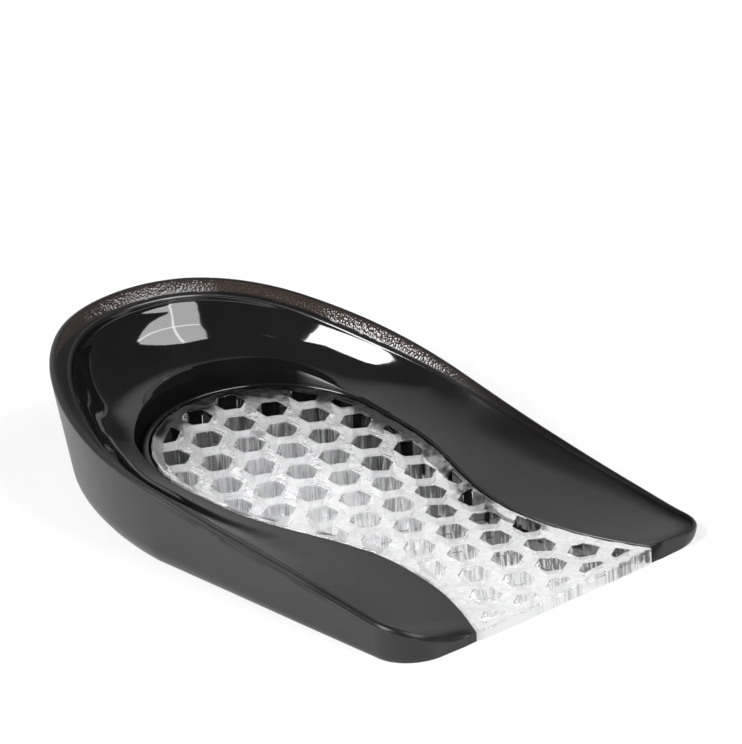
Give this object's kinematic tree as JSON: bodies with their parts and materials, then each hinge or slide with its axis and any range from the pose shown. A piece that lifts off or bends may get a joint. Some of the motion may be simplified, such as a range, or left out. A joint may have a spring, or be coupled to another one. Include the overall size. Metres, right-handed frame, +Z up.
{
  "type": "gel heel lift",
  "caption": "Soft black gel heel cup with a raised rounded rim, two tapering wings and a clear honeycomb gel core that slopes from heel to front.",
  "frame": {"origin": "on the ground under the middle of the part's box", "axes": "+Y towards the heel, -Y towards the toes, +Z up, +X to the right seen from above with the heel away from the viewer"},
  "size_m": [0.0616, 0.0954, 0.0221],
  "materials": {
    "black_gel": "soft moulded gel, glossy inside the cup, satin outside, fine grain on the rim",
    "clear_gel": "clear soft gel, glossy cell walls with slight ripples"
  },
  "bodies": {
    "root": {"heel_cup": "black_gel", "honeycomb_core": "clear_gel"}
  },
  "joints": []
}
